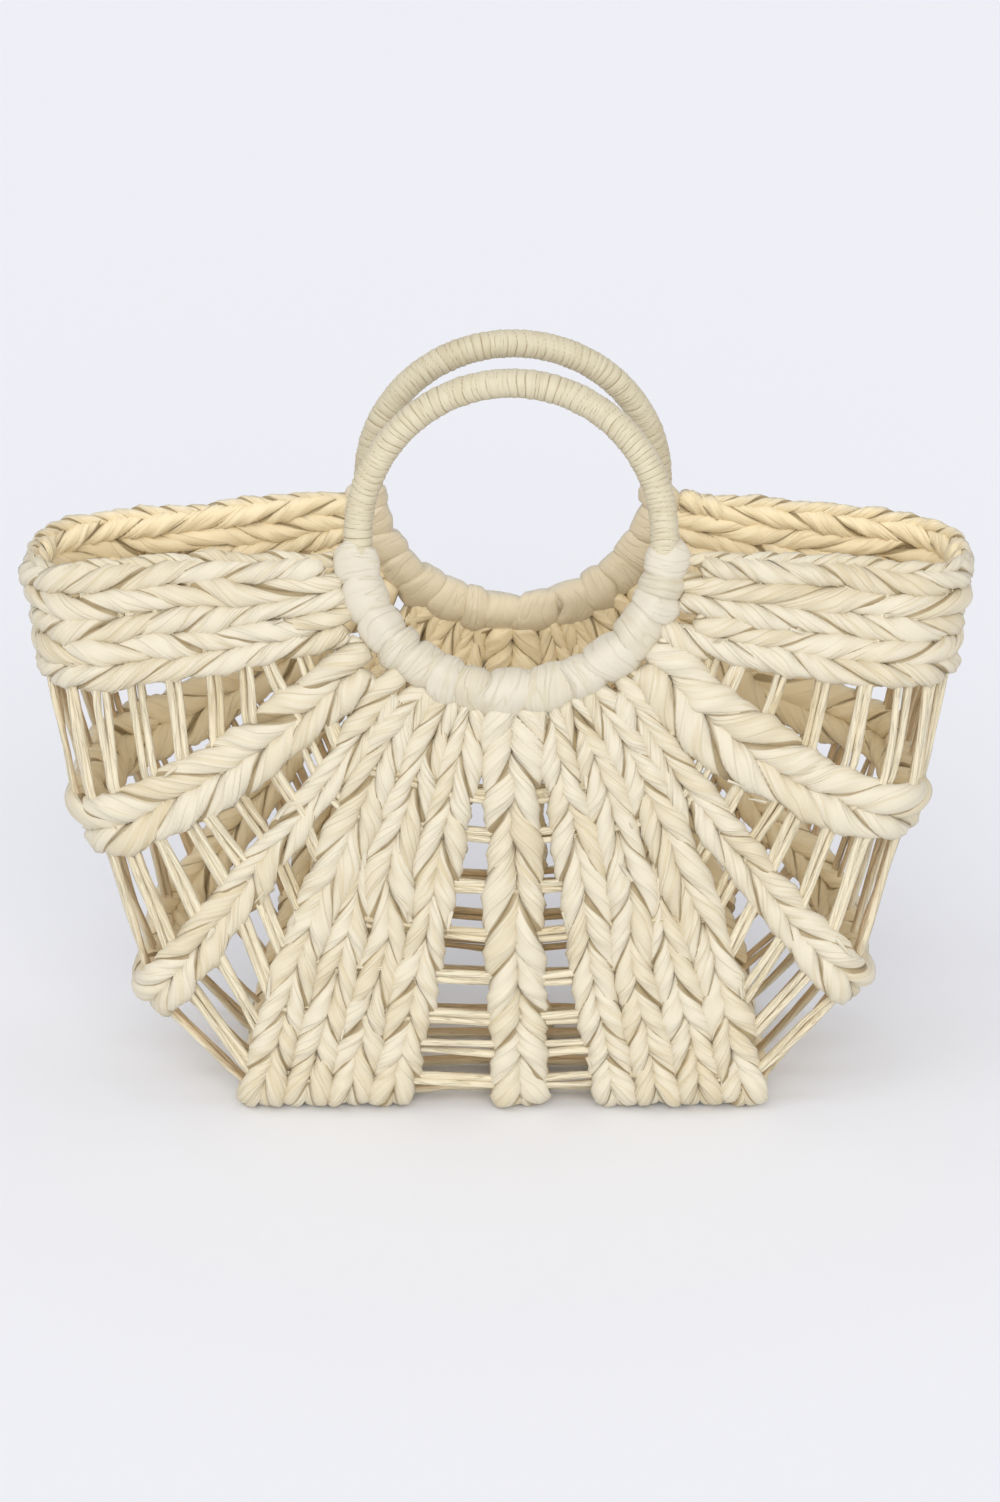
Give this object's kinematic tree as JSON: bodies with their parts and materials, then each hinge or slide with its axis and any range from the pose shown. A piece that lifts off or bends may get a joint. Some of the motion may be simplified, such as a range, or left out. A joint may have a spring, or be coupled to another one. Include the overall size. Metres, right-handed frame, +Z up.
{
  "type": "straw basket bag",
  "caption": "open-work straw tote with twined husk braids fanning out from two round hoop handles, round a flat base, over paired husk cords",
  "frame": {"origin": "on the floor under the middle of the bag", "axes": "X along the bag's width, to the right seen from the front; Y from the front to the back; Z up"},
  "size_m": [0.4169, 0.1296, 0.3353],
  "materials": {
    "hoop_wrap": "fine husk strip wound round the hoop",
    "binding_husk": "smooth wide husk strips, slightly glossy",
    "straw_braid": "dry twisted husk, satin",
    "straw_cord": "twisted husk cord, dry"
  },
  "bodies": {
    "root": {"front_hoop": "hoop_wrap", "back_hoop": "hoop_wrap", "front_binding": "binding_husk", "back_binding": "binding_husk", "rim_band_left": "straw_braid", "upper_braid_left": "straw_braid", "lower_braid_left": "straw_braid", "base_block_left": "straw_braid", "centre_braid": "straw_braid", "base_block_right": "straw_braid", "lower_braid_right": "straw_braid", "upper_braid_right": "straw_braid", "rim_band_right": "straw_braid", "front_cord_1": "straw_cord", "front_cord_2": "straw_cord", "front_cord_3": "straw_cord", "front_cord_4": "straw_cord", "front_cord_5": "straw_cord", "front_cord_6": "straw_cord", "front_cord_7": "straw_cord", "front_cord_8": "straw_cord", "base_cord_1": "straw_cord", "base_cord_2": "straw_cord", "base_cord_3": "straw_cord", "base_cord_4": "straw_cord", "back_cord_8": "straw_cord", "back_cord_7": "straw_cord", "back_cord_6": "straw_cord", "back_cord_5": "straw_cord", "back_cord_4": "straw_cord", "back_cord_3": "straw_cord", "back_cord_2": "straw_cord", "back_cord_1": "straw_cord"}
  },
  "joints": []
}
